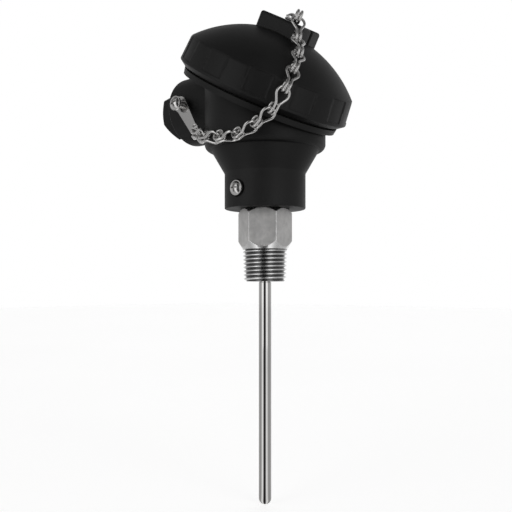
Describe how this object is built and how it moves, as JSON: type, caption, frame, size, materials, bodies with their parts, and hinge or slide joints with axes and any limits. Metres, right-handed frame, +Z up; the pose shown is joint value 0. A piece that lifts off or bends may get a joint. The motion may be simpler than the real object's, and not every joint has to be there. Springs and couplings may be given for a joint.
{
  "type": "rtd probe with head",
  "caption": "Straight metal temperature probe with a pipe-thread fitting under a black moulded connection head, whose slanted screw lid hangs on a wire-link chain.",
  "frame": {"origin": "centre of the pipe thread's lower end face, on the sheath axis", "axes": "+Z up the sheath axis towards the head, +X the way the lid leans, cable boss to -X, side screws to -Y"},
  "size_m": [0.1017, 0.084, 0.2321],
  "materials": {
    "head_moulding": "matte black moulded plastic with a fine texture",
    "lid_moulding": "matte black moulded plastic with a fine texture",
    "gasket_rubber": "matte black rubber",
    "fitting_steel": "turned stainless steel, satin",
    "sheath_steel": "drawn stainless tube, bright",
    "element_ceramic": "glazed ceramic",
    "lead_insulation": "white insulation",
    "potting_resin": "dark cast resin",
    "block_moulding": "ivory moulding",
    "terminal_brass": "plain brass",
    "screw_steel": "bright plated steel",
    "chain_steel": "bright plated wire and sheet"
  },
  "bodies": {
    "head": {"housing": "head_moulding", "lid_gasket": "gasket_rubber", "process_fitting": "fitting_steel", "sheath": "sheath_steel", "rtd_element": "element_ceramic", "lead_wires": "lead_insulation", "potting_seal": "potting_resin", "terminal_block": "block_moulding", "terminal_plates": "terminal_brass", "terminal_screws": "screw_steel", "block_screws": "screw_steel", "neck_screw": "screw_steel", "lug_screw": "screw_steel", "chain_lug": "chain_steel"},
    "swivel": {"swivel_link": "chain_steel"},
    "lid": {"lid": "lid_moulding", "lid_screw": "screw_steel"},
    "link_01": {"chain_link_01": "chain_steel"},
    "link_02": {"chain_link_02": "chain_steel"},
    "link_03": {"chain_link_03": "chain_steel"},
    "link_04": {"chain_link_04": "chain_steel"},
    "link_05": {"chain_link_05": "chain_steel"},
    "link_06": {"chain_link_06": "chain_steel"},
    "link_07": {"chain_link_07": "chain_steel"},
    "link_08": {"chain_link_08": "chain_steel"},
    "link_09": {"chain_link_09": "chain_steel"},
    "link_10": {"chain_link_10": "chain_steel"},
    "link_11": {"chain_link_11": "chain_steel"}
  },
  "joints": [
    {"name": "lid_rise", "type": "slide", "parent": "head", "child": "swivel", "axis": [0.5, 0, 0.866], "range_m": [0, 0.0025]},
    {"name": "lid_turn", "type": "hinge", "parent": "swivel", "child": "lid", "pos_m": [-0.0016, 0, 0.0885], "axis": [0.5, 0, 0.866], "range_deg": [0, 360]},
    {"name": "link_01_swing", "type": "hinge", "parent": "swivel", "child": "link_01", "pos_m": [0.02833, -0.0103, 0.11581], "axis": [-0.477, -0.8667, 0.1456], "range_deg": [0, 12.63]},
    {"name": "link_02_swing", "type": "hinge", "parent": "link_01", "child": "link_02", "pos_m": [0.02939, -0.01255, 0.10581], "axis": [-0.4374, -0.8755, 0.2056], "range_deg": [-13.62, 0]},
    {"name": "link_03_swing", "type": "hinge", "parent": "link_02", "child": "link_03", "pos_m": [0.03364, -0.01666, 0.09738], "axis": [-0.4768, -0.7723, 0.4199], "range_deg": [-9.79, 0]},
    {"name": "link_04_swing", "type": "hinge", "parent": "link_03", "child": "link_04", "pos_m": [0.03601, -0.02254, 0.08926], "axis": [-0.4344, -0.7843, 0.4429], "range_deg": [0, 7.27]},
    {"name": "link_05_swing", "type": "hinge", "parent": "link_04", "child": "link_05", "pos_m": [0.03584, -0.02753, 0.08025], "axis": [-0.2954, -0.8769, 0.379], "range_deg": [0, 4.19]},
    {"name": "link_06_swing", "type": "hinge", "parent": "link_05", "child": "link_06", "pos_m": [0.02966, -0.02895, 0.07214], "axis": [-0.1623, -0.9165, 0.3656], "range_deg": [0, 3.57]},
    {"name": "link_07_swing", "type": "hinge", "parent": "link_06", "child": "link_07", "pos_m": [0.0204, -0.02912, 0.06762], "axis": [-0.0238, -0.9186, 0.3945], "range_deg": [-14.2, 0]},
    {"name": "link_08_swing", "type": "hinge", "parent": "link_07", "child": "link_08", "pos_m": [0.01088, -0.03045, 0.06393], "axis": [0.1004, -0.8773, 0.4694], "range_deg": [0, 16.63]},
    {"name": "link_09_swing", "type": "hinge", "parent": "link_08", "child": "link_09", "pos_m": [0.00064, -0.03153, 0.06411], "axis": [0.046, -0.6609, 0.7491], "range_deg": [-5.52, 0]},
    {"name": "link_10_swing", "type": "hinge", "parent": "link_09", "child": "link_10", "pos_m": [-0.00956, -0.03082, 0.06536], "axis": [0.1778, -0.3311, 0.9267], "range_deg": [0, 6.68]},
    {"name": "link_11_swing", "type": "hinge", "parent": "link_10", "child": "link_11", "pos_m": [-0.01844, -0.02668, 0.06855], "axis": [0.4399, -0.0333, 0.8974], "range_deg": [-9.76, 0]}
  ],
  "couplings": [
    {"joint": "lid_rise", "follows": "lid_turn", "m_per_rad": 0.00039789},
    {"joint": "link_01_swing", "follows": "lid_turn", "ratio": 0.034944},
    {"joint": "link_02_swing", "follows": "lid_turn", "ratio": -0.037694},
    {"joint": "link_03_swing", "follows": "lid_turn", "ratio": -0.027056},
    {"joint": "link_04_swing", "follows": "lid_turn", "ratio": 0.020056},
    {"joint": "link_05_swing", "follows": "lid_turn", "ratio": 0.0115},
    {"joint": "link_06_swing", "follows": "lid_turn", "ratio": 0.0097778},
    {"joint": "link_07_swing", "follows": "lid_turn", "ratio": -0.039306},
    {"joint": "link_08_swing", "follows": "lid_turn", "ratio": 0.046056},
    {"joint": "link_09_swing", "follows": "lid_turn", "ratio": -0.015194},
    {"joint": "link_10_swing", "follows": "lid_turn", "ratio": 0.018417},
    {"joint": "link_11_swing", "follows": "lid_turn", "ratio": -0.026972}
  ]
}
